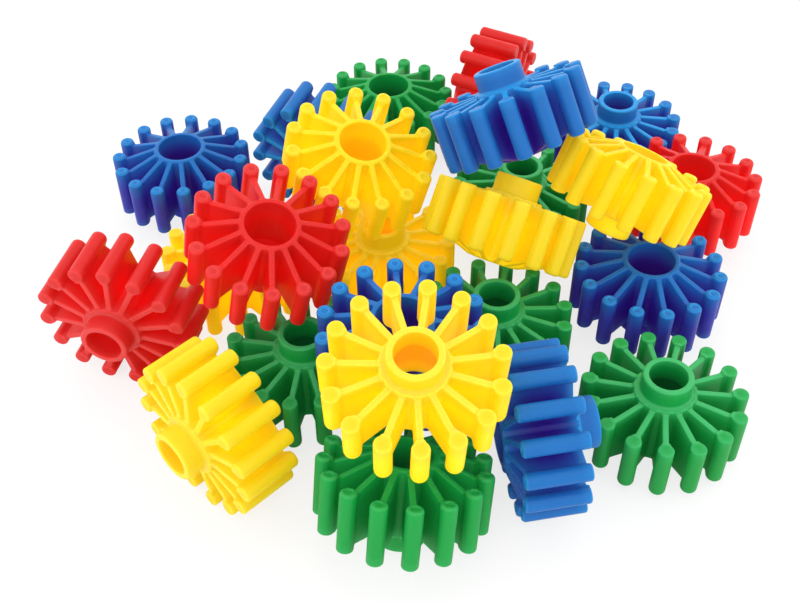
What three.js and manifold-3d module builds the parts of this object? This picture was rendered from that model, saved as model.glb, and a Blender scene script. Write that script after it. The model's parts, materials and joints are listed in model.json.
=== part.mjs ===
// A heap of twenty-four loose toy gears. All are the same moulding: fifteen round rods stand
// in a ring, fifteen thin webs tie them to a hub, a collar stands out of side A of the hub and
// a socket for the collar of another gear opens on side B.
// Millimetres, +Z up. The origin is on the floor under the bore of the root gear.
import * as THREE from "three";
import { mergeVertices } from "three/addons/utils/BufferGeometryUtils.js";
import Module from "manifold-3d";

const wasm = await Module();
wasm.setup();

// Sizes of one gear. Its z = 0 is half-way along the rods, and its collar points to +z.
const ROD_COUNT = 15;
const GEAR_DIAMETER = 64.5;
const ROD_DIAMETER = 6.5;
const ROD_LENGTH = 24;
const WEB_THICKNESS = 2.2;
const WEB_TOP_STEP = 1.2;
const WEB_FOOT_STEP = 3;
const FLANGE_RISE = 1;
const SKIRT_DROP = 3.3;
const COLLAR_DIAMETER = 19.4;
const COLLAR_RISE = 7.9;
const BORE_DIAMETER = 15;
const HUB_WALL = 2.05;
const SHOULDER_THICKNESS = 2;

// Clearances.
const SOCKET_CLEARANCE = 0.25;
const SEAT_GAP = 0.3;
const MESH_GAP = 0.35;
const WELD_DISTANCE = 0.0001;

// How a gear is let down: from this many diameters up, past neighbours no further off than
// this many diameters, with this many halvings of the last step.
const DROP_SHARE = 2.5;
const NEAR_SHARE = 1.25;
const HALVINGS = 14;

// Facet counts.
const ROD_SIDES = 6;
const HUB_SIDES = ROD_COUNT;
const ENVELOPE_SIDES = 48;

// Sizes that follow from those above.
const HALF = 1 / 2;
const OUTER_RADIUS = GEAR_DIAMETER * HALF;
const ROD_RADIUS = ROD_DIAMETER * HALF;
const ROD_CIRCLE_RADIUS = OUTER_RADIUS - ROD_RADIUS;
const ROD_INNER_RADIUS = ROD_CIRCLE_RADIUS - ROD_RADIUS;
const ROD_TOP = ROD_LENGTH * HALF;
const ROD_FOOT = -ROD_TOP;
const COLLAR_RADIUS = COLLAR_DIAMETER * HALF;
const BORE_RADIUS = BORE_DIAMETER * HALF;
const SOCKET_RADIUS = COLLAR_RADIUS + SOCKET_CLEARANCE;
const HUB_RADIUS = SOCKET_RADIUS + HUB_WALL;
const FLANGE_TOP = ROD_TOP + FLANGE_RISE;
const COLLAR_TOP = FLANGE_TOP + COLLAR_RISE;
const SKIRT_END = ROD_FOOT - SKIRT_DROP;
const SOCKET_END = FLANGE_TOP - SHOULDER_THICKNESS;
const WEB_TOP = ROD_TOP - WEB_TOP_STEP;
const WEB_FOOT = ROD_FOOT + WEB_FOOT_STEP;
const WEB_ROOT_RADIUS = (SOCKET_RADIUS + HUB_RADIUS) * HALF;
const FULL_TURN = Math.PI * 2;
const QUARTER_TURN = FULL_TURN / 4;
const PITCH = FULL_TURN / ROD_COUNT;

// Distance between the bores of two gears in mesh: a rod of one sits between two rods of the
// other with the named gap to both. Where the two rods stand wider apart than that, it sits
// midway between them.
const ROD_STEP = ROD_CIRCLE_RADIUS * Math.sin(PITCH * HALF);
const ROD_CHORD = ROD_CIRCLE_RADIUS * Math.cos(PITCH * HALF);
const ROD_NEST = Math.sqrt(Math.max((ROD_DIAMETER + MESH_GAP) ** 2 - ROD_STEP ** 2, 0));
const MESH_DISTANCE = ROD_CIRCLE_RADIUS + ROD_CHORD + ROD_NEST;

const YELLOW = { colour: 0xffe01a, roughness: 0.32 };
const GREEN = { colour: 0x1f9a4c, roughness: 0.34 };
const BLUE = { colour: 0x1c62b8, roughness: 0.3 };
const RED = { colour: 0xe21b22, roughness: 0.3 };

// The heap, from the floor up. Places are chosen by hand, as shares of the gear's diameter
// from the root gear: "across" to the right and "back" away from the viewer. "up" is the side
// that faces up, A with the collar or B with the socket. "lean" tips that side away from
// straight up, in the direction "towards", and "turn" is the turn about the bore; these three
// are in degrees. No height is stated: each gear is let down until it meets the floor or a
// gear that is already in place.
// The columns are name, paint, up, across, back, lean, towards, turn.
const PLACE_SHARES = [
  ["green_gear_centre", GREEN, "A", 0, 0, 0, 0, 5],
  ["blue_gear_right", BLUE, "B", 1.03, 0.32, 0, 0, 14],
  ["green_gear_right", GREEN, "A", 0.96, -0.7, 0, 0, 21],
  ["blue_gear_far_right", BLUE, "A", 1.08, 2.14, 0, 0, 22],
  ["red_gear_far_right", RED, "B"],
  ["green_gear_far_left", GREEN, "B", -0.69, 2.38, 0, 0, 22],
  ["blue_gear_left", BLUE, "B", -2.22, 1.58, 0, 0, 8],
  ["yellow_gear_core", YELLOW, "A", -0.73, 0.7, 0, 0, 19],
  ["green_gear_left", GREEN, "A", -1.21, -0.33, 0, 0, 23],
  ["yellow_gear_under_red", YELLOW, "A", -1.74, 0.62, 0, 0, 15],
  ["green_gear_under_blue", GREEN, "A", 0.27, 1.33, 0, 0, 10],
  ["green_gear_front", GREEN, "B", -0.6, -1.35, 20, 76, 13],
  ["blue_gear_on_edge_front", BLUE, "A", 0.17, -1.05, 87, 8, 22],
  ["red_gear_on_edge_left", RED, "B", -2.35, -0.05, 88, 76, 4],
  ["red_gear_on_edge_far", RED, "B", 0.11, 2.33, 89, 153, 4],
  ["blue_gear_on_edge_far", BLUE, "B", -1.17, 1.6, 86, 68, 14],
  ["yellow_gear_on_edge_front", YELLOW, "A", -1.66, -1, 90, -135, 20],
  ["blue_gear_under_yellow", BLUE, "B", -0.6, -0.65, 8, -90, 1],
  ["yellow_gear_tipped", YELLOW, "A", 0.06, 0.41, 41, 60, 2],
  ["yellow_gear_right", YELLOW, "B", 0.87, 0.6, 31, 41, 4],
  ["red_gear_top_left", RED, "B", -1.42, 0.04, 19, -54, 11],
  ["yellow_gear_top_far", YELLOW, "B"],
  ["yellow_gear_top_front", YELLOW, "A", -0.54, -1.24, 18, -88, 9],
  ["blue_gear_top", BLUE, "A", 0.1, 0.7, 33, 129, 7],
];

// Gears in mesh: each stands at this bearing, in degrees, from its partner, takes the
// partner's lean and slides down along its own bore.
const MESHES = {
  red_gear_far_right: { partner: "blue_gear_far_right", bearing: -64 },
  yellow_gear_top_far: { partner: "red_gear_top_left", bearing: 55 },
};

// Gears that lean into the hollow round the collar of the gear that carries them. All others
// keep out of the hollows beside each other's hubs.
const NESTS = { yellow_gear_tipped: "green_gear_centre" };

// A geometry with its seams closed, before it is moved to its place.
function welded(geometry) {
  geometry.deleteAttribute("normal");
  geometry.deleteAttribute("uv");
  return mergeVertices(geometry, WELD_DISTANCE);
}

// A welded geometry as a solid that can be joined and cut.
function solidOf(geometry) {
  const vertProperties = geometry.attributes.position.array;
  const triVerts = new Uint32Array(geometry.index.array);
  return new wasm.Manifold(new wasm.Mesh({ numProp: 3, vertProperties, triVerts }));
}

// A solid as a flat-shaded geometry.
function geometryOf(solid) {
  const mesh = solid.getMesh();
  const indexed = new THREE.BufferGeometry();
  indexed.setAttribute("position", new THREE.BufferAttribute(mesh.vertProperties, 3));
  indexed.setIndex(new THREE.BufferAttribute(mesh.triVerts, 1));
  const flat = indexed.toNonIndexed();
  flat.computeVertexNormals();
  return flat;
}

// A solid of revolution about z. The profile holds [radius, height] pairs and is closed.
function turned(profile, sides) {
  const points = profile.map(([radius, height]) => new THREE.Vector2(radius, height));
  points.push(points[0].clone());
  const geometry = welded(new THREE.LatheGeometry(points, sides));
  geometry.rotateX(QUARTER_TURN);
  geometry.rotateZ(QUARTER_TURN + (FULL_TURN / sides) * HALF);
  return geometry;
}

// One rod at angle zero on the rod circle, with one edge of its prism facing outwards.
function rod() {
  const outline = new THREE.Shape();
  for (let side = 0; side < ROD_SIDES; side += 1) {
    const angle = (side / ROD_SIDES) * FULL_TURN;
    const x = ROD_CIRCLE_RADIUS + ROD_RADIUS * Math.cos(angle);
    const y = ROD_RADIUS * Math.sin(angle);
    if (side === 0) {
      outline.moveTo(x, y);
    } else {
      outline.lineTo(x, y);
    }
  }
  outline.closePath();
  const upright = { depth: ROD_LENGTH, bevelEnabled: false };
  const geometry = welded(new THREE.ExtrudeGeometry(outline, upright));
  geometry.translate(0, 0, ROD_FOOT);
  return geometry;
}

// One web at angle zero: a plate whose foot slopes from the rod down to the hub's skirt.
function web() {
  const outline = new THREE.Shape();
  outline.moveTo(WEB_ROOT_RADIUS, SKIRT_END);
  outline.lineTo(ROD_CIRCLE_RADIUS, WEB_FOOT);
  outline.lineTo(ROD_CIRCLE_RADIUS, WEB_TOP);
  outline.lineTo(WEB_ROOT_RADIUS, ROD_TOP);
  outline.closePath();
  const plate = { depth: WEB_THICKNESS, bevelEnabled: false };
  const geometry = welded(new THREE.ExtrudeGeometry(outline, plate));
  geometry.translate(0, 0, -WEB_THICKNESS * HALF);
  geometry.rotateX(QUARTER_TURN);
  return geometry;
}

// The hub with its collar, its bore and the socket on side B.
function hub() {
  return turned(
    [
      [BORE_RADIUS, COLLAR_TOP],
      [BORE_RADIUS, SOCKET_END],
      [SOCKET_RADIUS, SOCKET_END],
      [SOCKET_RADIUS, SKIRT_END],
      [HUB_RADIUS, SKIRT_END],
      [HUB_RADIUS, FLANGE_TOP],
      [COLLAR_RADIUS, FLANGE_TOP],
      [COLLAR_RADIUS, COLLAR_TOP],
    ],
    HUB_SIDES,
  );
}

// The whole gear as one solid.
function gear() {
  let solid = solidOf(hub());
  for (let index = 0; index < ROD_COUNT; index += 1) {
    const angle = index * PITCH;
    solid = solid.add(solidOf(web().rotateZ(angle)));
    solid = solid.add(solidOf(rod().rotateZ(angle)));
  }
  return geometryOf(solid);
}

// The space that a spinning gear sweeps, grown by a gap on every side and without its bore.
// The hollows beside the hub, round the collar and round the skirt, are left open or filled.
function envelope(gap, hollows) {
  const outer = OUTER_RADIUS / Math.cos((FULL_TURN / ENVELOPE_SIDES) * HALF) + gap;
  const roundSkirt = [
    [ROD_INNER_RADIUS - gap, WEB_FOOT - gap],
    [ROD_INNER_RADIUS - gap, ROD_FOOT - gap],
  ];
  const roundCollar = [
    [HUB_RADIUS + gap, ROD_TOP + gap],
    [HUB_RADIUS + gap, FLANGE_TOP + gap],
    [COLLAR_RADIUS + gap, FLANGE_TOP + gap],
  ];
  return turned(
    [
      [0, COLLAR_TOP + gap],
      [0, SKIRT_END - gap],
      [HUB_RADIUS + gap, SKIRT_END - gap],
      ...(hollows === "open" ? roundSkirt : []),
      [outer, ROD_FOOT - gap],
      [outer, ROD_TOP + gap],
      ...(hollows === "open" ? roundCollar : []),
      [COLLAR_RADIUS + gap, COLLAR_TOP + gap],
    ],
    ENVELOPE_SIDES,
  );
}

// The lean of a gear that lies with side A up, without its turn.
function leanOf(place) {
  const heading = THREE.MathUtils.degToRad(place.towards);
  const hinge = new THREE.Vector3(-Math.sin(heading), Math.cos(heading), 0);
  return new THREE.Quaternion().setFromAxisAngle(hinge, THREE.MathUtils.degToRad(place.lean));
}

// The attitude of a gear as it lies: its turn about the bore, side B up if asked, its lean.
function attitudeOf(place) {
  const across = new THREE.Vector3(1, 0, 0);
  const bore = new THREE.Vector3(0, 0, 1);
  const flip = new THREE.Quaternion().setFromAxisAngle(across, place.up === "B" ? Math.PI : 0);
  const turn = new THREE.Quaternion().setFromAxisAngle(bore, THREE.MathUtils.degToRad(place.turn));
  return leanOf(place).multiply(flip).multiply(turn);
}

// Where a rod of the gear stands, as an angle seen from above. Side B up turns it round.
function rodAngle(place) {
  return place.up === "B" ? -place.turn : place.turn;
}

// A meshing gear takes the lean of its partner, and its turn puts a gap over the other's rod.
function meshedPlace(place, bearing, partner) {
  const half = THREE.MathUtils.radToDeg(PITCH * HALF);
  const facing = bearing + THREE.MathUtils.radToDeg(Math.PI);
  const angle = bearing + facing - rodAngle(partner) - half;
  const turn = place.up === "B" ? -angle : angle;
  return { ...place, lean: partner.lean, towards: partner.towards, turn };
}

const gearGeometry = gear();
const sweptGeometry = { open: envelope(0, "open"), filled: envelope(0, "filled") };
const seatGeometry = { open: envelope(SEAT_GAP, "open"), filled: envelope(SEAT_GAP, "filled") };

// A welded geometry in its attitude and place, as a solid.
function placedSolid(geometry, attitude, place) {
  const moved = geometry.clone().applyQuaternion(attitude);
  return solidOf(moved.translate(place.x, place.y, place.z));
}

// Whether two solids share any space.
function meets(one, other) {
  return one.intersect(other).getMesh().triVerts.length > 0;
}

// The height of the gear's middle when it stands on the floor in a given attitude.
function floorHeight(attitude) {
  const geometry = gearGeometry.clone().applyQuaternion(attitude);
  geometry.computeBoundingBox();
  return -geometry.boundingBox.min.z;
}

// Moves a gear from a start along a direction, and returns the last place where it is clear
// of the floor and of the gears in place, and out of the hollows of all but the one it nests in.
function letDown(start, direction, attitude, others, nest) {
  const floor = floorHeight(attitude);
  const blocked = (point) => {
    if (point.z < floor) {
      return true;
    }
    const filled = placedSolid(seatGeometry.filled, attitude, point);
    return others.some((other) => {
      if (other.name === nest) {
        return meets(placedSolid(seatGeometry.open, attitude, point), other.swept.open);
      }
      return meets(filled, other.swept.filled);
    });
  };
  const at = (travel) => start.clone().addScaledVector(direction, travel);
  let free = 0;
  while (!blocked(at(free + ROD_RADIUS))) {
    free += ROD_RADIUS;
  }
  let held = free + ROD_RADIUS;
  for (let pass = 0; pass < HALVINGS; pass += 1) {
    const middle = (free + held) * HALF;
    if (blocked(at(middle))) {
      held = middle;
    } else {
      free = middle;
    }
  }
  return at(free);
}

const heap = new THREE.Group();
heap.name = "gear_heap";
const settled = [];
for (const [name, paint, up, across, back, lean, towards, turn] of PLACE_SHARES) {
  const mesh = MESHES[name];
  const partner = settled.find((other) => other.name === mesh?.partner);
  const stated = { up, lean, towards, turn };
  const place = partner ? meshedPlace(stated, mesh.bearing, partner.place) : stated;
  const attitude = attitudeOf(place);
  const start = new THREE.Vector3();
  const direction = new THREE.Vector3(0, 0, -1);
  if (partner) {
    const bearing = THREE.MathUtils.degToRad(mesh.bearing);
    start.set(MESH_DISTANCE * Math.cos(bearing), MESH_DISTANCE * Math.sin(bearing), ROD_LENGTH);
    start.applyQuaternion(leanOf(place)).add(partner.position);
    direction.applyQuaternion(leanOf(place));
  } else {
    start.set(across, back, DROP_SHARE).multiplyScalar(GEAR_DIAMETER);
  }
  const near = settled.filter((other) => {
    const apart = Math.hypot(other.position.x - start.x, other.position.y - start.y);
    return other !== partner && apart < GEAR_DIAMETER * NEAR_SHARE;
  });
  const position = letDown(start, direction, attitude, near, NESTS[name]);
  const swept = {
    open: placedSolid(sweptGeometry.open, attitude, position),
    filled: placedSolid(sweptGeometry.filled, attitude, position),
  };
  settled.push({ name, place, position, swept });
  const material = new THREE.MeshStandardMaterial({
    color: paint.colour,
    roughness: paint.roughness,
    metalness: 0,
  });
  const piece = new THREE.Mesh(gearGeometry, material);
  piece.name = name;
  piece.position.copy(position);
  piece.quaternion.copy(attitude);
  heap.add(piece);
}

export default heap;
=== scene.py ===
"""Visual model of a heap of loose toy gears in four colours of moulded plastic.

All gears are castings of one mould: a hub with a collar on side A and a socket on side B, thin
webs, and round rods for teeth. The casting is modelled once, in fine detail, and each gear of
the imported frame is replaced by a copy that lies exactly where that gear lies.
Lengths are in metres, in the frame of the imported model.
"""

import json
import logging
import math
from dataclasses import dataclass, field
from enum import Enum

import bpy
import numpy as np
from mathutils import Matrix
from numpy.typing import NDArray

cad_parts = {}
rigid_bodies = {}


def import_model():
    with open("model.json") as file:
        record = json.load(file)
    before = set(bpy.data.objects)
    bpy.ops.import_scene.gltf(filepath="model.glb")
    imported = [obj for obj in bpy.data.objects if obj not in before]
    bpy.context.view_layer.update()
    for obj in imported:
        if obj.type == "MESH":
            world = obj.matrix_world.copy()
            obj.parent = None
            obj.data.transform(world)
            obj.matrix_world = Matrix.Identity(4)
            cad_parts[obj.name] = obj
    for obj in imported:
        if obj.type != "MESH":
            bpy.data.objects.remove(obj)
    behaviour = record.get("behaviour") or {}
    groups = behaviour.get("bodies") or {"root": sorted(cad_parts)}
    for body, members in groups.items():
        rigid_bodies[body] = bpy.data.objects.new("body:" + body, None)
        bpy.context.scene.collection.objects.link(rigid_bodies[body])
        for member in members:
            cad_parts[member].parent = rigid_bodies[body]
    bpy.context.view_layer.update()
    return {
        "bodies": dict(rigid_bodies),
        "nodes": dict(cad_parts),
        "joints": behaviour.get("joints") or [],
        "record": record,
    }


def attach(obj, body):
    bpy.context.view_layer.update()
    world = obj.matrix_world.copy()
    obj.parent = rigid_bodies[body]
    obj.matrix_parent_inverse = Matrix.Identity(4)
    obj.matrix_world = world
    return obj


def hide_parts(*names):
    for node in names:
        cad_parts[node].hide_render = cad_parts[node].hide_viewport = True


LOG = logging.getLogger("gear_heap")

MM = 0.001
FULL_TURN = 2 * math.pi
SHARP_ANGLE = math.radians(32)
WHITE = (1.0, 1.0, 1.0, 1.0)

# The round mark in a rod's foot, from its middle out: shares of its radius and of its depth.
PIN_MARK_SHARES = ((0.0, 1.0), (0.75, 1.0), (0.95, 0.4), (1.1, 0.0), (1.25, 0.0))

Points = NDArray[np.float64]
Faces = list[list[int]]
Colour = tuple[float, float, float, float]
Socket = bpy.types.NodeSocket
InputValue = Socket | float | tuple[float, ...]


def linear(red: int, green: int, blue: int) -> Colour:
    """A display colour, in steps of 0 to 255, as the linear colour that a shader takes.

    Each channel is undone by the display curve: its share of 255 is raised to 2.4 after an
    offset of 0.055, and divided by 12.92 near black.

    Args:
        red: The red channel.
        green: The green channel.
        blue: The blue channel.

    Returns:
        The linear colour with an alpha of 1.
    """
    share = np.array([red, green, blue]) / 255
    curved = ((share + 0.055) / 1.055) ** 2.4
    channels = np.where(share <= 0.04045, share / 12.92, curved)
    return (float(channels[0]), float(channels[1]), float(channels[2]), 1.0)


@dataclass
class Shell:
    """One closed surface as points and faces that point outwards.

    Attributes:
        points: An array of one row for each point.
        faces: Lists of point numbers, one list for each face.
    """

    points: Points
    faces: Faces

    def turned(self, angle: float) -> "Shell":
        """The shell turned about the bore.

        Args:
            angle: The turn in radians, by the right-hand rule about +Z.

        Returns:
            A new shell with the same faces.
        """
        cosine, sine = math.cos(angle), math.sin(angle)
        turn = np.array([[cosine, sine, 0], [-sine, cosine, 0], [0, 0, 1]])
        return Shell(self.points @ turn, self.faces)

    @staticmethod
    def joined(shells: list["Shell"]) -> "Shell":
        """Several shells as one list of points and faces.

        Args:
            shells: The shells, which don't touch each other.

        Returns:
            One shell that holds them all.
        """
        faces: Faces = []
        start = 0
        for shell in shells:
            faces.extend([[start + corner for corner in face] for face in shell.faces])
            start += len(shell.points)
        return Shell(np.vstack([shell.points for shell in shells]), faces)


def ring_faces(rings: int, sides: int) -> Faces:
    """The faces between neighbouring rings of points, each ring closed on itself.

    Face number j between rings i and i + 1 has the corners (i, j), (i, j + 1), (i + 1, j + 1)
    and (i + 1, j), where the point (i, j) has the number i times the sides plus j.

    Args:
        rings: How many rings there are.
        sides: How many points a ring has.

    Returns:
        One four-sided face for each cell.
    """
    ring, side = np.meshgrid(np.arange(rings - 1), np.arange(sides), indexing="ij")
    following = (side + 1) % sides
    low = ring * sides
    high = low + sides
    corners = np.stack([low + side, low + following, high + following, high + side], axis=-1)
    return corners.reshape(-1, 4).tolist()


def revolved_ring(profile: Points, sides: int) -> Shell:
    """A ring-shaped solid: a closed profile carried round the Z axis.

    The point of side j and profile row k stands at the angle j of a full turn, at the row's
    radius and height. The profile runs anticlockwise, seen with the axis on the left.

    Args:
        profile: Rows of radius and height, all off the axis, the last joining the first.
        sides: How many steps make the full turn.

    Returns:
        The closed shell.
    """
    angles = np.linspace(0, FULL_TURN, sides, endpoint=False)
    radius, height = profile[:, 0], profile[:, 1]
    x = np.outer(np.cos(angles), radius)
    y = np.outer(np.sin(angles), radius)
    z = np.broadcast_to(height, x.shape)
    points = np.stack([x, y, z], axis=-1).reshape(-1, 3)
    count = len(profile)
    side, row = np.meshgrid(np.arange(sides), np.arange(count), indexing="ij")
    near = side * count
    far = ((side + 1) % sides) * count
    following = (row + 1) % count
    corners = np.stack([near + row, far + row, far + following, near + following], axis=-1)
    return Shell(points, corners.reshape(-1, 4).tolist())


def revolved_bar(profile: Points, sides: int) -> Shell:
    """A bar: an open profile from the axis to the axis, carried round the Z axis.

    Each row of the profile but the first and last becomes a ring of points, at the row's radius
    and height. The first and last rows lie on the axis and close the bar with fans.

    Args:
        profile: Rows of radius and height from the lower pole up to the upper pole.
        sides: How many steps make the full turn.

    Returns:
        The closed shell.
    """
    angles = np.linspace(0, FULL_TURN, sides, endpoint=False)
    rows = profile[1:-1]
    x = np.outer(rows[:, 0], np.cos(angles))
    y = np.outer(rows[:, 0], np.sin(angles))
    z = np.repeat(rows[:, 1:], sides, axis=1)
    rings = np.stack([x, y, z], axis=-1).reshape(-1, 3)
    poles = np.array([[0, 0, profile[0, 1]], [0, 0, profile[-1, 1]]])
    faces = ring_faces(len(rows), sides)
    side = np.arange(sides)
    following = (side + 1) % sides
    top = (len(rows) - 1) * sides
    low_pole = np.full(sides, len(rings))
    high_pole = low_pole + 1
    faces += np.stack([low_pole, following, side], axis=-1).tolist()
    faces += np.stack([high_pole, top + side, top + following], axis=-1).tolist()
    return Shell(np.vstack([rings, poles]), faces)


def softened(corners: Points, radii: Points, steps: int) -> Points:
    """A closed outline whose corners are rounded.

    Each corner becomes an arc that touches both of its sides. The arc starts at the radius
    times the tangent of half the corner's turn away from the corner, and its points run at
    equal angles about the centre, which lies on the corner's bisector.

    Args:
        corners: Rows of x and y, in order round the outline.
        radii: The radius of the arc at each corner.
        steps: How many steps an arc has.

    Returns:
        Rows of x and y, with one arc in place of each corner.
    """
    before = np.roll(corners, 1, axis=0) - corners
    after = np.roll(corners, -1, axis=0) - corners
    before /= np.linalg.norm(before, axis=1, keepdims=True)
    after /= np.linalg.norm(after, axis=1, keepdims=True)
    opening = np.arccos(np.clip(np.sum(before * after, axis=1), -1, 1))
    reach = radii / np.tan(opening / 2)
    bisector = before + after
    bisector /= np.linalg.norm(bisector, axis=1, keepdims=True)
    centre = corners + bisector * (radii / np.sin(opening / 2))[:, None]
    start = corners + before * reach[:, None] - centre
    end = corners + after * reach[:, None] - centre
    first = np.arctan2(start[:, 1], start[:, 0])
    sweep = np.arctan2(end[:, 1], end[:, 0]) - first
    sweep = (sweep + math.pi) % FULL_TURN - math.pi
    share = np.linspace(0, 1, steps + 1)
    angle = first[:, None] + sweep[:, None] * share
    arc = np.stack([np.cos(angle), np.sin(angle)], axis=-1) * radii[:, None, None]
    return (centre[:, None, :] + arc).reshape(-1, 2)


def quarter_arc(start: Points, end: Points, steps: int, outward: bool) -> Points:
    """A quarter of an ellipse between two points of a profile.

    The height eases over the arc as the sine and the radius as the cosine of the angle, or the
    other way round, so the arc leaves one point level and reaches the other one upright.

    Args:
        start: The radius and height of the first point.
        end: The radius and height of the last point.
        steps: How many steps the arc has.
        outward: Whether the arc leaves its first point level rather than upright.

    Returns:
        Rows of radius and height, both ends included.
    """
    angle = np.linspace(0, math.pi / 2, steps + 1)
    level, upright = np.sin(angle), 1 - np.cos(angle)
    shares = np.stack([level, upright] if outward else [upright, level], axis=-1)
    return start + (end - start) * shares


@dataclass
class GearMould:
    """The sizes of one casting. Its z = 0 is half-way along the rods, and the collar is on +Z.

    Attributes:
        rod_count: How many rods, and webs, there are.
        gear_diameter: The diameter over the rods.
        rod_diameter: The diameter of a rod at its foot.
        rod_length: The length of a rod.
        rod_draft: How much a rod's radius loses towards side A, so that it leaves the mould.
        rod_dome: The height of the rounding at a rod's foot.
        rod_edge: The radius of the edge at a rod's top.
        pin_mark_radius: The radius of the round mark in a rod's foot.
        pin_mark_depth: The depth of that mark.
        web_thickness: The thickness of a web.
        web_top_step: How far a web ends below the rods' tops.
        web_foot_step: How far a web ends above the rods' feet.
        web_edge: The radius along a web's edges.
        fillet: The radius of the fillets between a web and the hub.
        rod_fillet: The radius of the fillets between a web and its rod.
        hub_diameter: The diameter of the hub.
        flange_rise: How far the hub's flange stands above the rods.
        skirt_drop: How far the hub reaches below the rods.
        collar_diameter: The diameter of the collar.
        collar_rise: The height of the collar above the flange.
        bore_diameter: The diameter of the bore.
        shoulder_thickness: The thickness of the wall that ends the socket.
        socket_clearance: The clearance of a collar in a socket, on the radius.
        hub_edge: The radius of the hub's outer edges.
        mouth_edge: The radius of the edges of bore and socket.
        rod_sides: The steps round a rod.
        hub_sides: The steps round the hub.
        arc_steps: The steps in a rounding.
        web_stations: The steps along a web's straight stretch.
        wall_steps: The steps up the side of a rod or a web.
        wall_step: The longest step along the hub's walls.
        flare_share: How far the sections at the hub reach, as a share of the fillet.
        lying_share: The rise of the bore's axis from which a gear counts as lying flat, for the
            painted shade.
        deep_share: The depth that counts as the bottom of the painted shade, as a share of half the
            rods' length.
        depth_ease: The power that eases the depth of the painted shade.
        inner_share: How far out from the hub the painted shade counts in full, as a share of the
            way.
        outer_share: How much painted shade falls on the rods' outer side when the gear lies flat.
        edge_highlight_fade: How far from an edge the painted edge highlight reaches.
        hub_margin: How far outside the hub a point still counts as on it, for the painted edge
            highlight.
        end_flat_share: The part of a rod's end that the painted edge highlight leaves free.
        end_fade_share: The part over which that painted highlight then comes in.
        mark_width_share: How far the painted highlight ring round a mark reaches each way, in its
            radii.
    """

    rod_count: int = 15
    gear_diameter: float = 64.36 * MM
    rod_diameter: float = 6.36 * MM
    rod_length: float = 24 * MM
    rod_draft: float = 0.08 * MM
    rod_dome: float = 1.5 * MM
    rod_edge: float = 0.8 * MM
    pin_mark_radius: float = 1.5 * MM
    pin_mark_depth: float = 0.4 * MM
    web_thickness: float = 2.3 * MM
    web_top_step: float = 1.2 * MM
    web_foot_step: float = 3 * MM
    web_edge: float = 0.55 * MM
    fillet: float = 1.1 * MM
    rod_fillet: float = 1.9 * MM
    hub_diameter: float = 24 * MM
    flange_rise: float = 1 * MM
    skirt_drop: float = 3.3 * MM
    collar_diameter: float = 19.4 * MM
    collar_rise: float = 7.9 * MM
    bore_diameter: float = 14.7 * MM
    shoulder_thickness: float = 2 * MM
    socket_clearance: float = 0.25 * MM
    hub_edge: float = 0.8 * MM
    mouth_edge: float = 0.35 * MM
    rod_sides: int = 28
    hub_sides: int = 120
    arc_steps: int = 5
    web_stations: int = 4
    wall_steps: int = 6
    wall_step: float = 4 * MM
    flare_share: float = 1.05
    lying_share: float = 5 / 6
    deep_share: float = 10 / 13
    depth_ease: float = 0.8
    inner_share: float = 2 / 7
    outer_share: float = 0.85
    edge_highlight_fade: float = 1.1 * MM
    hub_margin: float = 0.24 * MM
    end_flat_share: float = 0.6
    end_fade_share: float = 1 / 3
    mark_width_share: float = 0.35

    @property
    def rod_radius(self) -> float:
        """The radius of a rod at its foot."""
        return self.rod_diameter / 2

    @property
    def circle_radius(self) -> float:
        """The radius of the circle on which the rods stand."""
        return self.gear_diameter / 2 - self.rod_radius

    @property
    def rod_top(self) -> float:
        """The height of the rods' ends on side A."""
        return self.rod_length / 2

    @property
    def flange_top(self) -> float:
        """The height of the flange."""
        return self.rod_top + self.flange_rise

    @property
    def collar_top(self) -> float:
        """The height of the collar's end."""
        return self.flange_top + self.collar_rise

    @property
    def skirt_end(self) -> float:
        """The height of the hub's rim on side B."""
        return -self.rod_top - self.skirt_drop

    @property
    def hub_radius(self) -> float:
        """The radius of the hub."""
        return self.hub_diameter / 2

    @property
    def rod_wall(self) -> float:
        """How far from the bore's axis a rod begins."""
        return self.circle_radius - self.rod_radius

    @property
    def shoulder(self) -> float:
        """The height at which the socket ends and the bore begins."""
        return self.flange_top - self.shoulder_thickness

    @property
    def web_root(self) -> float:
        """How far from the bore's axis a web begins, inside the hub's wall."""
        return (self.socket_radius + self.hub_radius) / 2

    @property
    def bore_radius(self) -> float:
        """The radius of the bore."""
        return self.bore_diameter / 2

    @property
    def socket_radius(self) -> float:
        """The radius of the socket."""
        return self.collar_diameter / 2 + self.socket_clearance

    def rod(self) -> Shell:
        """One rod, on the rod circle at angle zero.

        The profile runs from the round mark over the rounded foot, up the drafted side and over
        the small edge to the flat top.

        Returns:
            The rod's shell.
        """
        foot, top = -self.rod_top, self.rod_top
        tip_radius = self.rod_radius - self.rod_draft
        mark = np.array(PIN_MARK_SHARES) * [self.pin_mark_radius, self.pin_mark_depth]
        face = mark + [0, foot]
        dome = quarter_arc(
            face[-1],
            np.array([self.rod_radius, foot + self.rod_dome]),
            self.arc_steps + 1,
            outward=True,
        )
        edge = quarter_arc(
            np.array([tip_radius, top - self.rod_edge]),
            np.array([tip_radius - self.rod_edge, top]),
            self.arc_steps - 1,
            outward=False,
        )
        side = np.linspace(dome[-1], edge[0], self.wall_steps + 1)[1:-1]
        profile = np.vstack([face[:-1], dome, side, edge, [[0, top]]])
        shell = revolved_bar(profile, self.rod_sides)
        return Shell(shell.points + np.array([self.circle_radius, 0, 0]), shell.faces)

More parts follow.
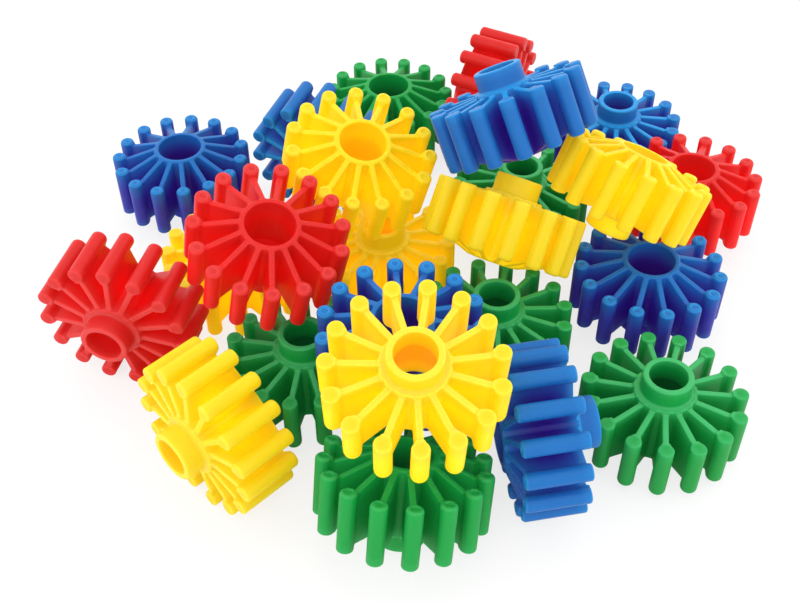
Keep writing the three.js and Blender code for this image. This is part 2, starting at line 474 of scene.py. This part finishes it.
    def web_half_width(self, reach: Points) -> Points:
        """Half the thickness of a web, which flares into the hub and into the rod.

        Each flare is an arc of its fillet's radius that touches the web's flat side and the
        round wall that it runs into. Past the wall the half width stays as it is there.

        Args:
            reach: Distances from the bore's axis.

        Returns:
            The half width at each distance.
        """
        side = self.web_thickness / 2
        hub_lift = side + self.fillet
        hub_centre = math.sqrt((self.hub_radius + self.fillet) ** 2 - hub_lift**2)
        hub_touch = hub_centre * self.hub_radius / (self.hub_radius + self.fillet)
        into_hub = np.clip(hub_centre - np.maximum(reach, hub_touch), 0, None)
        at_hub = hub_lift - np.sqrt(self.fillet**2 - into_hub**2)
        rod_lift = side + self.rod_fillet
        rod_offset = math.sqrt((self.rod_radius + self.rod_fillet) ** 2 - rod_lift**2)
        share = self.rod_radius / (self.rod_radius + self.rod_fillet)
        rod_touch = self.circle_radius - rod_offset * share
        rod_centre = self.circle_radius - rod_offset
        into_rod = np.clip(np.minimum(reach, rod_touch) - rod_centre, 0, None)
        at_rod = rod_lift - np.sqrt(self.rod_fillet**2 - into_rod**2)
        return np.maximum(at_hub, at_rod)

    def web_top(self, reach: Points) -> Points:
        """The height of a web's upper edge.

        It runs straight from the rods' height at the hub down to its step at the rod, and rises
        in a quarter of a circle where it meets the hub's flange and the rod.

        Args:
            reach: Distances from the bore's axis.

        Returns:
            The height at each distance.
        """
        along = (reach - self.hub_radius) / (self.circle_radius - self.hub_radius)
        line = self.rod_top - self.web_top_step * along
        return line + self.rise(reach)

    def web_foot(self, reach: Points) -> Points:
        """The height of a web's lower edge.

        It runs straight from the hub's rim up to its step at the rod, and drops in a quarter of
        a circle where it meets the rod.

        Args:
            reach: Distances from the bore's axis.

        Returns:
            The height at each distance.
        """
        span = self.circle_radius - self.web_root
        along = np.clip((reach - self.web_root) / span, 0, 1)
        rod_foot = -self.rod_top + self.web_foot_step
        line = self.skirt_end + (rod_foot - self.skirt_end) * along
        near_rod = reach > (self.hub_radius + self.circle_radius) / 2
        return line - np.where(near_rod, self.rise(reach), 0)

    def rise(self, reach: Points) -> Points:
        """How far a web's edge rises into the wall of the hub or the rod.

        The rise is the fillet's radius less the circle's height there, so it starts level and
        ends upright at the wall.

        Args:
            reach: Distances from the bore's axis.

        Returns:
            The rise at each distance, zero away from both walls.
        """
        gap = np.minimum(np.abs(reach - self.hub_radius), np.abs(self.rod_wall - reach))
        outside = (reach > self.hub_radius) & (reach < self.rod_wall)
        into = np.where(outside, np.clip(self.fillet - gap, 0, None), self.fillet)
        return self.fillet - np.sqrt(np.clip(self.fillet**2 - into**2, 0, None))

    def web_reaches(self) -> Points:
        """The distances from the axis at which a web's sections stand.

        They lie close together in both fillets, by the cosine of equal angles, and far apart in
        between. The first and last lie inside the walls that the web joins.

        Returns:
            Rising distances.
        """
        ease = 1 - np.cos(np.linspace(0, math.pi / 2, self.arc_steps + 2))
        hub_flare = self.hub_radius + self.fillet * self.flare_share * ease
        rod_flare = self.rod_wall - self.rod_fillet * ease[::-1]
        middle = np.linspace(hub_flare[-1], rod_flare[0], self.web_stations + 2)[1:-1]
        lap = self.rod_wall + self.rod_radius / 6
        end = self.rod_wall + self.rod_radius / 2
        return np.concatenate([[self.web_root], hub_flare, middle, rod_flare, [lap, end]])

    def web(self) -> Shell:
        """One web at angle zero.

        At each distance from the axis the section is an upright box between the web's foot and
        top, as wide as the web is there, with its four corners rounded. Each rounded corner is
        an arc about a centre that lies one edge radius inside both sides, and the two upright
        sides are split into equal steps.

        Returns:
            The web's shell.
        """
        reach = self.web_reaches()
        half = self.web_half_width(reach)
        top = self.web_top(reach)
        foot = self.web_foot(reach)
        quarter = math.pi / 2
        angle = np.linspace(0, quarter, self.arc_steps)
        over = np.concatenate([angle, angle + quarter])
        side = np.linspace(0, 1, self.wall_steps + 1)[1:-1]
        across = np.repeat([1, -1, -1, 1], self.arc_steps)
        across = np.insert(across, 2 * self.arc_steps, np.full(len(side), -1))
        across = np.append(across, np.ones(len(side)))
        level = np.concatenate([np.ones(len(over)), 1 - side, np.zeros(len(over)), side])
        flat = np.ones(len(side))
        cosine = np.concatenate([np.cos(over), -flat, -np.cos(over), flat])
        sine = np.concatenate([np.sin(over), 0 * flat, -np.sin(over), 0 * flat])
        y = np.outer(half - self.web_edge, across) + self.web_edge * cosine
        low = np.outer(foot + self.web_edge, 1 - level)
        high = np.outer(top - self.web_edge, level)
        z = low + high + self.web_edge * sine
        x = np.repeat(reach[:, None], len(across), axis=1)
        points = np.stack([x, y, z], axis=-1).reshape(-1, 3)
        first = list(range(len(across)))
        last = [(len(reach) - 1) * len(across) + number for number in first]
        return Shell(points, ring_faces(len(reach), len(across)) + [first[::-1], last])

    def hub(self) -> Shell:
        """The hub with its flange, collar, bore and socket.

        The profile is a closed outline of eight corners, each rounded by its own radius, with
        its long straight stretches split, carried round the bore's axis.

        Returns:
            The hub's shell.
        """
        collar = self.collar_diameter / 2
        rows = np.array(
            [
                [self.bore_radius, self.collar_top, self.mouth_edge],
                [self.bore_radius, self.shoulder, self.mouth_edge],
                [self.socket_radius, self.shoulder, self.mouth_edge],
                [self.socket_radius, self.skirt_end, self.mouth_edge],
                [self.hub_radius, self.skirt_end, self.hub_edge],
                [self.hub_radius, self.flange_top, self.hub_edge],
                [collar, self.flange_top, self.fillet],
                [collar, self.collar_top, self.hub_edge],
            ]
        )
        outline = self.split(softened(rows[:, :2], rows[:, 2], self.arc_steps))
        return revolved_ring(outline, self.hub_sides)

    def split(self, outline: Points) -> Points:
        """A closed outline with steps no longer than the longest step along a wall.

        Args:
            outline: Rows of x and y.

        Returns:
            The rows, with equal steps put into each longer stretch.
        """
        rows = []
        for start, end in zip(outline, np.roll(outline, -1, axis=0)):
            steps = math.ceil(float(np.linalg.norm(end - start)) / self.wall_step)
            rows.append(np.linspace(start, end, max(steps, 1), endpoint=False))
        return np.vstack(rows)

    def recess_painted_shade(self, points: Points, lean: float) -> Points:
        """How much painted shade a point gets by how deep in the gear it lies, from 0 in the open
        to 1 at the bottom.

        On a gear that stands on edge the depth is taken from the nearer end, as a share of half
        the rods' length. On a gear that lies flat it is taken from the upper end, as such a
        share, so its lower side gets more painted shade, and a leaning gear has a mixture of both.
        It counts in full at the hub and not on the rods' outer side, but in part there on a gear
        that lies flat, as painted shade low on its rods. Deep in the bore the bore's own painted
        shade is taken where it is greater.

        Args:
            points: Points of the casting.
            lean: The rise of the bore's axis, 1 with the collar up and -1 with the collar down.

        Returns:
            One share for each point.
        """
        radius = np.hypot(points[:, 0], points[:, 1])
        height = points[:, 2]
        nearer = (self.rod_top - np.abs(height)) / self.rod_top
        upper = (self.rod_top - np.sign(lean) * height) / self.rod_top
        depth = nearer + (upper - nearer) * min(abs(lean) / self.lying_share, 1)
        open_radius = self.circle_radius + self.rod_radius / 2
        outward = (radius - self.hub_radius) / (open_radius - self.hub_radius)
        inward = np.clip((1 - outward) / (1 - self.inner_share), 0, 1)
        flatness = (abs(lean) - self.lying_share) / (1 - self.lying_share)
        least = self.outer_share * np.clip(flatness, 0, 1)
        eased = np.clip(depth / self.deep_share, 0, 1) ** self.depth_ease
        # The share of painted shade, never less than the painted shade in the bore.
        return np.maximum(self.bore_painted_shade(points), eased * (least + (1 - least) * inward))

    def bore_painted_shade(self, points: Points) -> Points:
        """How much painted shade a point deep in the bore or the socket gets, from 0 at the mouth
        to 1.

        It is the square of the depth below the nearer mouth, as a share of half the rods'
        length.

        Args:
            points: Points of the casting.

        Returns:
            One share for each point, 0 outside the bore and the socket.
        """
        radius = np.hypot(points[:, 0], points[:, 1])
        height = points[:, 2]
        mouth = np.minimum(self.collar_top - height, height - self.skirt_end)
        wall = np.where(height > self.shoulder, self.bore_radius, self.socket_radius)
        inside = radius < wall + self.mouth_edge / 2
        return np.clip(mouth / self.rod_top, 0, 1) ** 2 * inside

    def edge_painted_highlight(self, points: Points) -> Points:
        """How much painted highlight a point gets near an edge that thins out, from 0 on the flats
        to 1 there.

        It is 1 round the rods' ends, on the webs' upper edges and on the collar's end, and
        fades away from them. On the flat of a rod's end it falls to 0.

        Args:
            points: Points of the casting.

        Returns:
            One share for each point.
        """
        radius = np.hypot(points[:, 0], points[:, 1])
        height = points[:, 2]
        on_rod = radius > self.rod_wall
        on_hub = radius < self.hub_radius + self.hub_margin
        web_line = self.web_top(radius) - height
        ends = np.minimum(self.rod_top - height, self.rod_top + height)
        hub_ends = np.minimum(self.collar_top - height, np.abs(self.flange_top - height))
        drop = np.where(on_rod, ends, np.where(on_hub, hub_ends, web_line))
        off_flat = self.off_rod(points) / self.rod_radius - self.end_flat_share
        round_end = np.clip(off_flat / self.end_fade_share, 0, 1)
        near_edge = np.clip(1 - np.abs(drop) / self.edge_highlight_fade, 0, 1)
        return near_edge * np.where(on_rod, round_end, 1)

    def off_rod(self, points: Points) -> Points:
        """The distance of points from the axis of the nearest rod.

        Args:
            points: Points of the casting.

        Returns:
            One distance for each point.
        """
        pitch = FULL_TURN / self.rod_count
        angle = np.arctan2(points[:, 1], points[:, 0])
        angle -= np.round(angle / pitch) * pitch
        radius = np.hypot(points[:, 0], points[:, 1])
        return np.hypot(radius * np.cos(angle) - self.circle_radius, radius * np.sin(angle))

    def mark(self, points: Points) -> Points:
        """How close a point lies to the ring round the mark in a rod's foot, where a highlight is
        painted.

        Args:
            points: Points of the casting.

        Returns:
            One share for each point, 1 on the ring and 0 away from it.
        """
        off = self.off_rod(points) / self.pin_mark_radius - 1
        ring = np.clip(1 - np.abs(off) / self.mark_width_share, 0, 1)
        return ring * (points[:, 2] < 0)

    def cast(self) -> bpy.types.Mesh:
        """The finished casting as one closed mesh, in its own place about the origin.

        Returns:
            A mesh with smooth faces and sharp edges where the walls turn hard.
        """
        pitch = FULL_TURN / self.rod_count
        turns = [pitch * number for number in range(self.rod_count)]
        webs = Shell.joined([self.web().turned(turn) for turn in turns])
        rods = Shell.joined([self.rod().turned(turn) for turn in turns])
        mesh = united(self.hub(), [webs, rods])
        mesh.shade_smooth()
        mesh.set_sharp_from_angle(angle=SHARP_ANGLE)
        return mesh

    def placed(self, casting: bpy.types.Mesh, name: str, move: Matrix) -> bpy.types.Mesh:
        """A copy of the casting, moved to its place.

        Args:
            casting: The casting.
            name: The name of the copy.
            move: Where the copy goes.

        Returns:
            The copy, with the point attributes recess, hollow, rim and mark, the shares of its
            painted shade and painted highlight.
        """
        mesh = casting.copy()
        mesh.name = name
        points = points_of(mesh)
        # Shares of painted shade deep in the gear and in the bore, and of painted highlight on
        # edges and on the marks' rings.
        shares = {
            "recess_painted_shade": self.recess_painted_shade(points, move.col[2][2]),
            "bore_painted_shade": self.bore_painted_shade(points),
            "edge_painted_highlight": self.edge_painted_highlight(points),
            "mark": self.mark(points),
        }
        for title, values in shares.items():
            attribute = mesh.attributes.new(title, "FLOAT", "POINT")
            attribute.data.foreach_set("value", values.astype(np.float32))
        mesh.transform(move)
        return mesh


def points_of(mesh: bpy.types.Mesh) -> Points:
    """The points of a mesh.

    Args:
        mesh: The mesh.

    Returns:
        One row for each point.
    """
    points = np.empty(len(mesh.vertices) * 3)
    mesh.vertices.foreach_get("co", points)
    return points.reshape(-1, 3)


def mesh_of(name: str, shell: Shell) -> bpy.types.Mesh:
    """A mesh made from a shell.

    Args:
        name: The mesh's name.
        shell: Its points and faces.

    Returns:
        The mesh.
    """
    mesh = bpy.data.meshes.new(name)
    mesh.from_pydata(shell.points.tolist(), [], shell.faces)
    mesh.validate()
    return mesh


def united(core: Shell, others: list[Shell]) -> bpy.types.Mesh:
    """The union of closed shells as one closed mesh.

    Args:
        core: The shell that all the others join.
        others: Shells that run into the core or into each other.

    Returns:
        The united mesh.
    """
    collection = bpy.context.scene.collection
    base = bpy.data.objects.new("casting", mesh_of("casting", core))
    collection.objects.link(base)
    helpers = [base]
    for number, shell in enumerate(others):
        helper = bpy.data.objects.new(f"joined_{number}", mesh_of(f"joined_{number}", shell))
        collection.objects.link(helper)
        helpers.append(helper)
        union = base.modifiers.new(helper.name, "BOOLEAN")
        union.operation = "UNION"
        union.solver = "MANIFOLD"
        union.object = helper
    graph = bpy.context.evaluated_depsgraph_get()
    result = bpy.data.meshes.new_from_object(base.evaluated_get(graph))
    result.materials.clear()
    for helper in helpers:
        mesh = helper.data
        bpy.data.objects.remove(helper)
        bpy.data.meshes.remove(mesh)
    return result


@dataclass(frozen=True)
class PlasticLook:
    """The colours and the gloss of one moulded plastic.

    Attributes:
        face: The colour of open faces.
        recess_painted_shade: The painted shade colour deep between the webs. In blue it is darker
            and more violet than the face. In yellow and red it is lighter than the face: painted
            light that lifts that shade.
        bore_painted_shade: The painted shade colour deep in the bore and the socket.
        edge_painted_highlight: The lighter colour painted as highlight on thin edges and on the
            ring round each rod's mark.
        inner: The colour of a glow painted on every surface, standing in for light that has come
            through the plastic from its other sides.
        inner_share: The strength of that painted glow.
        roughness: The roughness of the surface.
        glow: How much of the light enters the plastic and comes out again.
        glow_depth: How far that light travels, in metres.
        glow_spread: How far red, green and blue light travel, as shares of that.
        mark: How much the painted highlight on the ring round a rod's foot mark shows, from 0 to 1.
    """

    face: Colour
    recess_painted_shade: Colour
    bore_painted_shade: Colour
    edge_painted_highlight: Colour
    inner: Colour
    inner_share: float
    roughness: float
    glow: float
    glow_depth: float
    glow_spread: tuple[float, float, float]
    mark: float


class Plastic(Enum):
    """The four plastics of the heap, each under its slot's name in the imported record."""

    YELLOW = "yellow_plastic"
    GREEN = "green_plastic"
    BLUE = "blue_plastic"
    RED = "red_plastic"


# Face colours with painted shade, painted edge highlight and painted glow. In yellow and red the
# shade deep between the webs is painted lighter than the face.
LOOKS = {
    Plastic.YELLOW: PlasticLook(
        face=linear(198, 182, 14),
        recess_painted_shade=linear(255, 224, 12),
        bore_painted_shade=linear(250, 176, 8),
        edge_painted_highlight=linear(202, 190, 58),
        inner=linear(255, 202, 18),
        inner_share=0.26,
        roughness=0.45,
        glow=0.85,
        glow_depth=5.0 * MM,
        glow_spread=(1.0, 0.5, 0.08),
        mark=0.15,
    ),
    Plastic.GREEN: PlasticLook(
        face=linear(12, 146, 62),
        recess_painted_shade=linear(20, 140, 56),
        bore_painted_shade=linear(8, 84, 34),
        edge_painted_highlight=linear(62, 170, 102),
        inner=linear(30, 160, 80),
        inner_share=0.06,
        roughness=0.42,
        glow=0.3,
        glow_depth=2.0 * MM,
        glow_spread=(0.3, 1.0, 0.4),
        mark=0.2,
    ),
    Plastic.BLUE: PlasticLook(
        face=linear(0, 101, 168),
        recess_painted_shade=linear(48, 34, 146),
        bore_painted_shade=linear(46, 26, 116),
        edge_painted_highlight=linear(20, 148, 208),
        inner=linear(110, 40, 255),
        inner_share=0.042,
        roughness=0.4,
        glow=0.25,
        glow_depth=1.6 * MM,
        glow_spread=(0.3, 0.5, 1.0),
        mark=0.9,
    ),
    Plastic.RED: PlasticLook(
        face=linear(184, 27, 25),
        recess_painted_shade=linear(228, 21, 20),
        bore_painted_shade=linear(206, 18, 16),
        edge_painted_highlight=linear(190, 66, 64),
        inner=linear(255, 30, 24),
        inner_share=0.15,
        roughness=0.42,
        glow=0.7,
        glow_depth=4.0 * MM,
        glow_spread=(1.0, 0.25, 0.2),
        mark=0.9,
    ),
}


@dataclass(frozen=True)
class ShaderNodes:
    """Short ways to add nodes to the tree of a material or a world.

    Attributes:
        tree: The node tree.
    """

    tree: bpy.types.NodeTree

    def feed(self, socket: Socket, value: InputValue) -> None:
        """Give an input its value.

        Args:
            socket: The input.
            value: A plain value, or the output that the input follows.
        """
        if isinstance(value, Socket):
            self.tree.links.new(value, socket)
        else:
            socket.default_value = value

    def fill(self, node: bpy.types.Node, values: dict[str, InputValue]) -> None:
        """Feed several inputs of a node, each under its name."""
        for name, value in values.items():
            self.feed(node.inputs[name], value)

    def add(self, kind: str, values: dict[str, InputValue]) -> bpy.types.Node:
        """A new node with its inputs fed.

        Args:
            kind: The type of the node, without the word that every type begins with.
            values: What each input gets.

        Returns:
            The node.
        """
        node = self.tree.nodes.new(f"ShaderNode{kind}")
        self.fill(node, values)
        return node

    def noise(self, size: float, detail: float) -> Socket:
        """Soft noise in space, fixed to the object.

        Args:
            size: The size of one patch, in metres.
            detail: How many finer layers are added.

        Returns:
            The noise, from 0 to 1.
        """
        place = self.add("TexCoord", {}).outputs["Object"]
        values = {"Vector": place, "Scale": 1 / size, "Detail": detail}
        return self.add("TexNoise", values).outputs["Fac"]

    def attribute(self, name: str) -> Socket:
        """A point attribute of the casting.

        Args:
            name: The attribute's name.

        Returns:
            Its value.
        """
        node = self.add("Attribute", {})
        node.attribute_name = name
        return node.outputs["Fac"]

    def scaled(self, value: Socket, low: float, high: float) -> Socket:
        """A value from 0 to 1 spread between the two that 0 and 1 become."""
        values = {"Value": value, "To Min": low, "To Max": high}
        return self.add("MapRange", values).outputs["Result"]

    def mixed(self, share: Socket, first: Socket | Colour, second: Colour) -> Socket:
        """Two colours mixed by a share.

        Args:
            share: How much of the second colour there is.
            first: The first colour, or where it comes from.
            second: The second colour.

        Returns:
            The mixed colour.
        """
        node = self.add("Mix", {})
        node.data_type = "RGBA"
        inputs = [socket for socket in node.inputs if socket.enabled]
        for socket, value in zip(inputs, (share, first, second)):
            self.feed(socket, value)
        return next(socket for socket in node.outputs if socket.enabled)

    def shown(self, lit: Socket, seen: Socket, share: float) -> Socket:
        """A shader over which the camera sees another one.

        Args:
            lit: The shader that all other rays meet.
            seen: The shader that only the camera sees.
            share: How much of it covers the first one there.

        Returns:
            The joined shader.
        """
        ray = self.add("LightPath", {}).outputs["Is Camera Ray"]
        node = self.add("MixShader", {"Fac": self.scaled(ray, 0.0, share)})
        self.tree.links.new(lit, node.inputs[1])
        self.tree.links.new(seen, node.inputs[2])
        return node.outputs["Shader"]


@dataclass
class MouldedPlastic:
    """The shader of one moulded plastic.

    Attributes:
        plastic: Which of the four plastics it is.
        mottle_size: The size of the soft colour patches.
        mottle_detail: How many finer layers they have.
        ripple_size: The size of the slow waves in the moulded walls.
        ripple_depth: The height of those waves.
        grain_size: The size of the fine grain of the mould's skin.
        grain_depth: The height of that grain.
        bump_detail: How many finer layers the waves and the grain have.
        mottle: How far the patches lighten and darken the colour.
        gloss_spread: How far the patches raise and lower the roughness.
        edge_highlight_share: How much of the painted edge highlight colour shows on an edge.
        refraction: The index of refraction of the plastic.
        shine: The strength of the reflections at the surface.
    """

    plastic: Plastic
    mottle_size: float = 11 * MM
    mottle_detail: float = 3
    ripple_size: float = 5 * MM
    ripple_depth: float = 0.05 * MM
    grain_size: float = 0.5 * MM
    grain_depth: float = 0.006 * MM
    bump_detail: float = 2
    mottle: float = 0.05
    gloss_spread: float = 0.06
    edge_highlight_share: float = 0.8
    refraction: float = 1.49
    shine: float = 0.25

    def build(self) -> bpy.types.Material:
        """Make the material.

        The colour and the roughness share their soft patches, and the subsurface glow and the
        painted emission glow are those of the plastic's look.

        Returns:
            The finished material.
        """
        look = LOOKS[self.plastic]
        material = bpy.data.materials.new(f"moulded_{self.plastic.value}")
        material.use_nodes = True
        nodes = ShaderNodes(material.node_tree)
        patches = nodes.noise(self.mottle_size, self.mottle_detail)
        low, high = look.roughness - self.gloss_spread, look.roughness + self.gloss_spread
        surface = {
            "Base Color": self.coloured(nodes, patches),
            "Roughness": nodes.scaled(patches, low, high),
            "Normal": self.bumped(nodes),
            "IOR": self.refraction,
            "Specular IOR Level": self.shine,
            "Subsurface Weight": look.glow,
            "Subsurface Radius": look.glow_spread,
            "Subsurface Scale": look.glow_depth,
            # Emission paints a glow in the plastic's own colour: painted light that lifts its
            # shade.
            "Emission Color": look.inner,
            "Emission Strength": look.inner_share,
        }
        nodes.fill(material.node_tree.nodes["Principled BSDF"], surface)
        return material

    def coloured(self, nodes: ShaderNodes, patches: Socket) -> Socket:
        """The colour of the surface.

        It starts as the face's colour and goes over to the painted shade colours deep between the
        webs and in the bore, and to the painted highlight colour on edges and on the ring round
        each rod's mark, by the casting's attributes. Soft patches lighten and darken it.

        Args:
            nodes: The material's nodes.
            patches: The noise that makes the patches.

        Returns:
            The colour.
        """
        look = LOOKS[self.plastic]
        colour = look.face
        # Mix in the painted shade colours, then the painted highlight on edges and on the marks'
        # rings.
        for name, share, tint in (
            ("recess_painted_shade", 1.0, look.recess_painted_shade),
            ("bore_painted_shade", 1.0, look.bore_painted_shade),
            ("edge_painted_highlight", self.edge_highlight_share, look.edge_painted_highlight),
            ("mark", look.mark, look.edge_painted_highlight),
        ):
            amount = nodes.scaled(nodes.attribute(name), 0.0, share)
            colour = nodes.mixed(amount, colour, tint)
        value = nodes.scaled(patches, 1 - self.mottle, 1 + self.mottle)
        return nodes.add("HueSaturation", {"Value": value, "Color": colour}).outputs["Color"]

    def bumped(self, nodes: ShaderNodes) -> Socket:
        """The normal of the surface, bent by its slow waves and its fine grain.

        Args:
            nodes: The material's nodes.

        Returns:
            The normal.
        """
        values: dict[str, InputValue] = {"Strength": 1.0}
        for size, depth in (
            (self.ripple_size, self.ripple_depth),
            (self.grain_size, self.grain_depth),
        ):
            values |= {"Height": nodes.noise(size, self.bump_detail), "Distance": depth}
            normal = nodes.add("Bump", values).outputs["Normal"]
            values["Normal"] = normal
        return normal


@dataclass
class GearPlace:
    """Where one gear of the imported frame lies, read from its own solid.

    Attributes:
        mould: The sizes of the casting.
        axis: A direction along the bore, either way.
        centre: A point on the bore's axis.
    """

    mould: GearMould
    axis: Points
    centre: Points

    def matrix(self, points: Points) -> Matrix:
        """The move from the mould's own place to where the gear lies.

        The end of the bore where no point is wider than the collar is side A. The gear's middle
        lies the collar's height below that end. The rods' outermost edges repeat once in each
        pitch, so the mean of their angles, each times the rod count, gives the turn.

        Args:
            points: The points of the gear's solid.

        Returns:
            The move as a matrix.
        """
        offset = points - self.centre
        axis = self.axis
        if self.is_collar_end(offset, -axis):
            axis = -axis
        height = offset @ axis
        middle = self.centre + axis * (height.max() - self.mould.collar_top)
        flat = offset - np.outer(height, axis)
        radius = np.linalg.norm(flat, axis=1)
        outermost = flat[radius > radius.max() - self.mould.web_edge]
        across = np.cross(axis, [0.0, 1.0, 0.0])
        if np.linalg.norm(across) < math.sqrt(0.5):
            across = np.cross(axis, [1.0, 0.0, 0.0])
        across /= np.linalg.norm(across)
        along = np.cross(axis, across)
        angle = np.arctan2(outermost @ along, outermost @ across)
        repeats = np.exp(1j * angle * self.mould.rod_count).mean()
        turn = np.angle(repeats) / self.mould.rod_count
        rod_way = across * math.cos(turn) + along * math.sin(turn)
        columns = np.stack([rod_way, np.cross(axis, rod_way), axis, middle], axis=1)
        return Matrix(np.vstack([columns, [0, 0, 0, 1]]).tolist())

    def is_collar_end(self, offset: Points, direction: Points) -> bool:
        """Whether the gear's end in a direction is the end of its collar.

        Args:
            offset: The points of the gear, from a point on its axis.
            direction: One of the two directions along the bore.

        Returns:
            True where no point of that end is wider than the collar.
        """
        height = offset @ direction
        end = offset[height > height.max() - self.mould.hub_edge]
        flat = end - np.outer(end @ direction, direction)
        limit = (self.mould.collar_diameter + self.mould.hub_diameter) / 4
        return bool(np.linalg.norm(flat, axis=1).max() < limit)


@dataclass
class GearHeap:
    """All gears of the heap.

    Attributes:
        frame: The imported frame.
        mould: The sizes of the casting.
        pieces: The gears made so far.
    """

    frame: dict
    mould: GearMould
    pieces: list[bpy.types.Object] = field(default_factory=list)

    def build(self) -> None:
        """Cast every gear, put it in its place and dress it."""
        casting = self.mould.cast()
        LOG.info("casting: %d points, %d faces", len(casting.vertices), len(casting.polygons))
        materials = {plastic: MouldedPlastic(plastic).build() for plastic in Plastic}
        slots = {
            entry["node"]: Plastic(entry["material_slot"])
            for entry in self.frame["record"]["subparts"]
        }
        for body, nodes in self.frame["record"]["behaviour"]["bodies"].items():
            for node in nodes:
                piece = self.gear(casting, node)
                piece.data.materials.append(materials[slots[node]])
                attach(piece, body)
                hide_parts(node)
                self.pieces.append(piece)
                LOG.info("%s stands for %s", piece.name, node)
        bpy.data.meshes.remove(casting)

    def gear(self, casting: bpy.types.Mesh, node: str) -> bpy.types.Object:
        """One gear, where its node lies.

        Args:
            casting: The casting that is copied.
            node: The name of the gear in the frame.

        Returns:
            The gear's object.
        """
        points = points_of(self.frame["nodes"][node].data)
        move = self.place(node, points).matrix(points)
        mesh = self.mould.placed(casting, f"{node}_casting", move)
        piece = bpy.data.objects.new(mesh.name, mesh)
        bpy.context.scene.collection.objects.link(piece)
        return piece

    def place(self, node: str, points: Points) -> GearPlace:
        """Where a gear lies, from the hinge that carries it.

        Args:
            node: The name of the gear.
            points: The points of its solid.

        Returns:
            The place. The gear without a hinge lies flat, about the middle of its box.
        """
        for joint in self.frame["joints"]:
            if joint["child"] == node:
                axis = np.array(joint["axis"])
                axis /= np.linalg.norm(axis)
                return GearPlace(self.mould, axis, np.array(joint["pos_m"]))
        middle = (points.min(axis=0) + points.max(axis=0)) / 2
        middle[:2] = 0
        return GearPlace(self.mould, np.array([0.0, 0.0, 1.0]), middle)


@dataclass(frozen=True)
class Lamp:
    """A soft square lamp that looks at the heap.

    Attributes:
        name: Its name.
        place: Where it hangs.
        size: The length of its sides.
        power: Its power in watts.
    """

    name: str
    place: tuple[float, float, float]
    size: float
    power: float

    def build(self) -> None:
        """Hang the lamp. Its own Z axis points from the heap to the lamp."""
        data = bpy.data.lights.new(self.name, "AREA")
        data.energy = self.power
        data.size = self.size
        lamp = bpy.data.objects.new(self.name, data)
        way = np.array(self.place)
        back = way / np.linalg.norm(way)
        side = np.cross([0.0, 0.0, 1.0], back)
        side /= np.linalg.norm(side)
        columns = np.stack([side, np.cross(back, side), back, way], axis=1)
        lamp.matrix_world = Matrix(np.vstack([columns, [0, 0, 0, 1]]).tolist())
        bpy.context.scene.collection.objects.link(lamp)


LAMPS = (
    Lamp("key_lamp", (-0.35, -0.85, 1.0), 0.7, 2.4),
    Lamp("fill_lamp", (0.9, -0.4, 0.9), 0.9, 0.6),
)


@dataclass
class Studio:
    """The white floor, the soft lamps and the camera.

    Attributes:
        floor_size: The width of the floor.
        floor_paint: How much light the floor gives back.
        floor_glow: The strength of the floor's own white, which only the camera sees.
        floor_glow_share: How much of that white covers the lit floor.
        camera_place: Where the camera stands.
        pitch: How far the camera looks down, in radians.
        roll: How far the camera leans, in radians.
        lens: The focal length in millimetres.
        sensor: The width of the film in millimetres.
        clip_start: The nearest distance that the camera sees.
        world_strength: The strength of the even light from all round.
    """

    floor_size: float = 6.0
    floor_paint: float = 0.8
    floor_glow: float = 1.05
    floor_glow_share: float = 0.72
    camera_place: tuple[float, float, float] = (-39.46 * MM, -326.28 * MM, 347.79 * MM)
    pitch: float = math.radians(44.05)
    roll: float = math.radians(-0.364)
    lens: float = 49.9
    sensor: float = 36
    clip_start: float = 10 * MM
    world_strength: float = 1.4

    def build(self) -> None:
        """Make the floor, the light and the camera."""
        self.floor()
        self.world()
        for lamp in LAMPS:
            lamp.build()
        self.camera()

    def floor(self) -> None:
        """A flat white floor that keeps a soft shadow and looks white to the camera."""
        half = self.floor_size / 2
        corners = np.array([[-half, -half, 0], [half, -half, 0], [half, half, 0], [-half, half, 0]])
        floor = bpy.data.objects.new("floor", mesh_of("floor", Shell(corners, [[0, 1, 2, 3]])))
        bpy.context.scene.collection.objects.link(floor)
        material = bpy.data.materials.new("white_floor")
        material.use_nodes = True
        material.node_tree.nodes.clear()
        nodes = ShaderNodes(material.node_tree)
        grey = self.floor_paint
        paint = nodes.add("BsdfDiffuse", {"Color": (grey, grey, grey, 1)}).outputs["BSDF"]
        glow = nodes.add("Emission", {"Strength": self.floor_glow}).outputs["Emission"]
        surface = nodes.shown(paint, glow, self.floor_glow_share)
        nodes.add("OutputMaterial", {"Surface": surface})
        floor.data.materials.append(material)

    def world(self) -> None:
        """Even light from all round, which the camera sees as white."""
        world = bpy.data.worlds.new("studio")
        world.use_nodes = True
        nodes = ShaderNodes(world.node_tree)
        light = world.node_tree.nodes["Background"]
        white = nodes.add("Background", {})
        for node, strength in ((light, self.world_strength), (white, 1.0)):
            nodes.fill(node, {"Color": WHITE, "Strength": strength})
        surface = nodes.shown(light.outputs["Background"], white.outputs["Background"], 1.0)
        nodes.fill(world.node_tree.nodes["World Output"], {"Surface": surface})
        bpy.context.scene.world = world

    def camera(self) -> None:
        """The camera of the photograph, found from the ends of the rods of the flat gears."""
        data = bpy.data.cameras.new("camera")
        data.lens = self.lens
        data.sensor_width = self.sensor
        data.clip_start = self.clip_start
        camera = bpy.data.objects.new("camera", data)
        tilt = Matrix.Rotation(math.pi / 2 - self.pitch, 4, "X")
        lean = Matrix.Rotation(self.roll, 4, "Z")
        camera.matrix_world = Matrix.Translation(self.camera_place) @ tilt @ lean
        bpy.context.scene.collection.objects.link(camera)
        bpy.context.scene.camera = camera


def main() -> None:
    """Load the frame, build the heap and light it."""
    logging.basicConfig(level=logging.INFO, format="%(name)s: %(message)s")
    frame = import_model()
    heap = GearHeap(frame, GearMould())
    heap.build()
    LOG.info("%d gears", len(heap.pieces))
    Studio().build()
    bpy.context.scene.view_settings.view_transform = "Standard"


if __name__ == "__main__":
    main()
